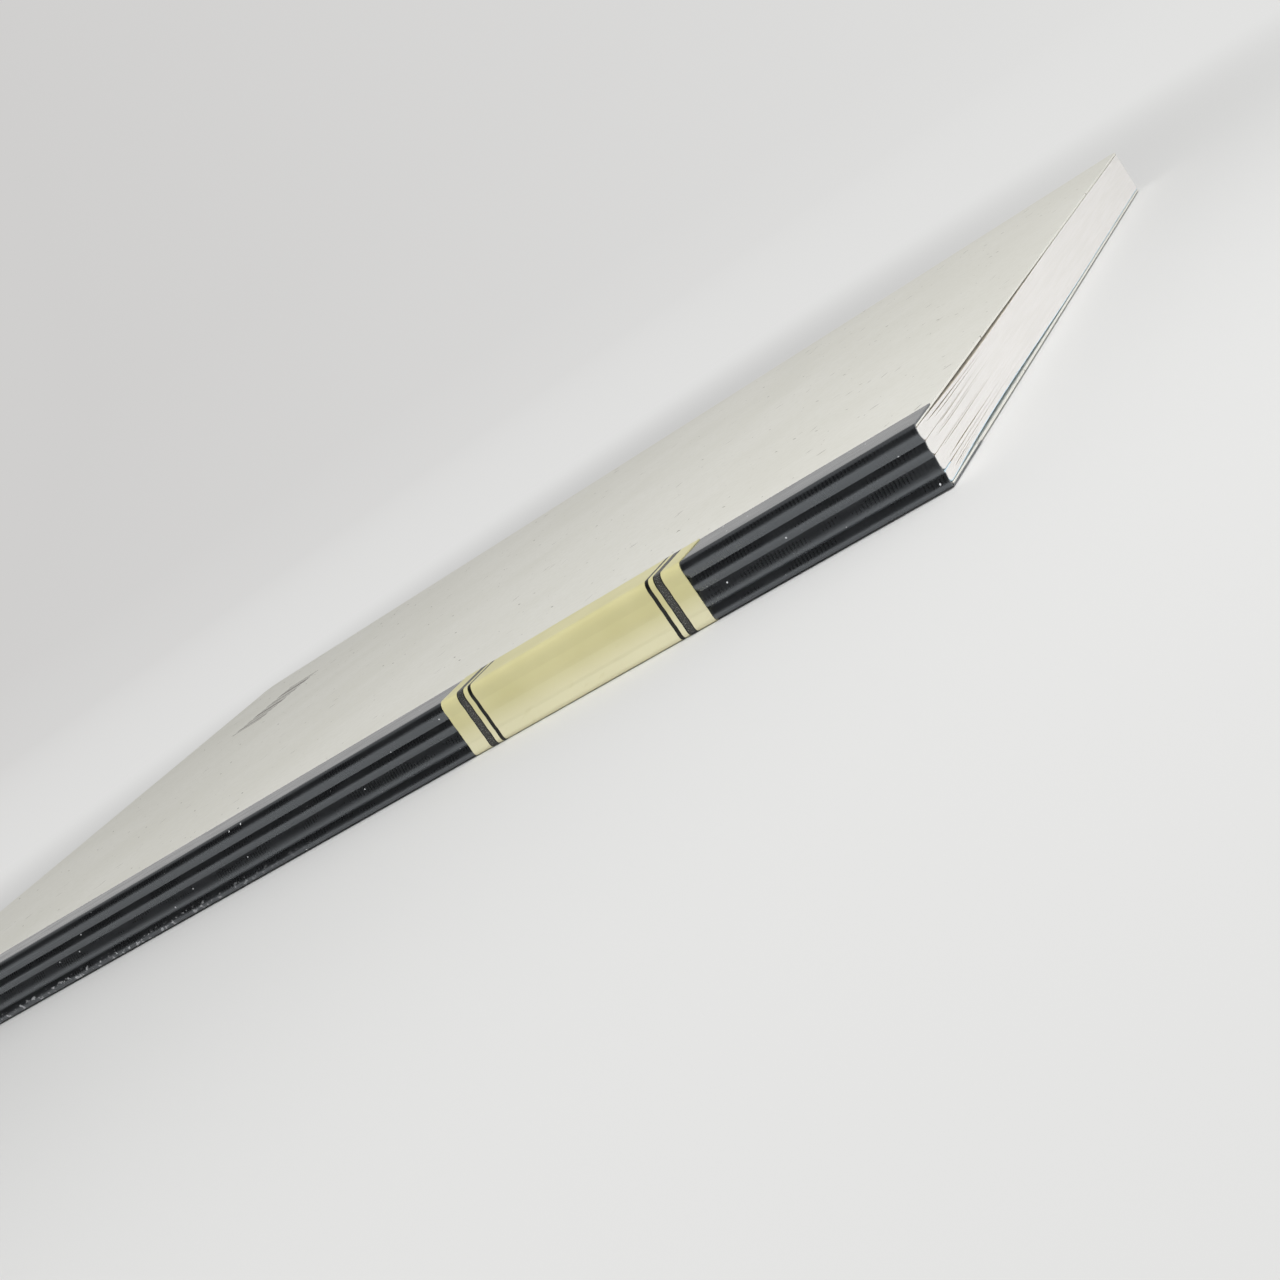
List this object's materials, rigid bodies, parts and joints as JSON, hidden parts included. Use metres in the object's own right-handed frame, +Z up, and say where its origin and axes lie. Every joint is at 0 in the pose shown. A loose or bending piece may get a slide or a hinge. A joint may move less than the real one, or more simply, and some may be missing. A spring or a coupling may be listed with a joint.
{
  "type": "lined notebook",
  "caption": "Thread-sewn notebook: white page block, blue flyleaf, two plain card covers hinged on a black cloth spine tape, and a cream striped label round the spine.",
  "frame": {"origin": "under the middle of the closed book, on the surface that it lies on", "axes": "+X along the spine to the head, spine on the -Y side, fore-edge on the +Y side, +Z up to the back cover"},
  "size_m": [0.252, 0.179, 0.0092],
  "materials": {
    "pages": "matte",
    "flyleaf": "matte",
    "thread": "matte",
    "glue": "satin",
    "card": "matte",
    "cloth": "semi-gloss coated cloth",
    "label": "satin"
  },
  "bodies": {
    "block": {"page_block": "pages", "flyleaf": "flyleaf", "sewing_thread": "thread", "spine_glue": "glue", "spine_tape": "cloth", "spine_label": "label"},
    "front": {"front_cover": "card"},
    "back": {"back_cover": "card"}
  },
  "joints": [
    {"name": "front_cover_hinge", "type": "hinge", "parent": "block", "child": "front", "pos_m": [0, -0.0889, 0.0004], "axis": [-1, 0, 0], "range_deg": [0, 179.9], "deforming": ["spine_tape", "spine_label"]},
    {"name": "back_cover_hinge", "type": "hinge", "parent": "block", "child": "back", "pos_m": [0, -0.0889, 0.00878], "axis": [1, 0, 0], "range_deg": [0, 179.9], "deforming": ["spine_tape", "spine_label"]}
  ]
}
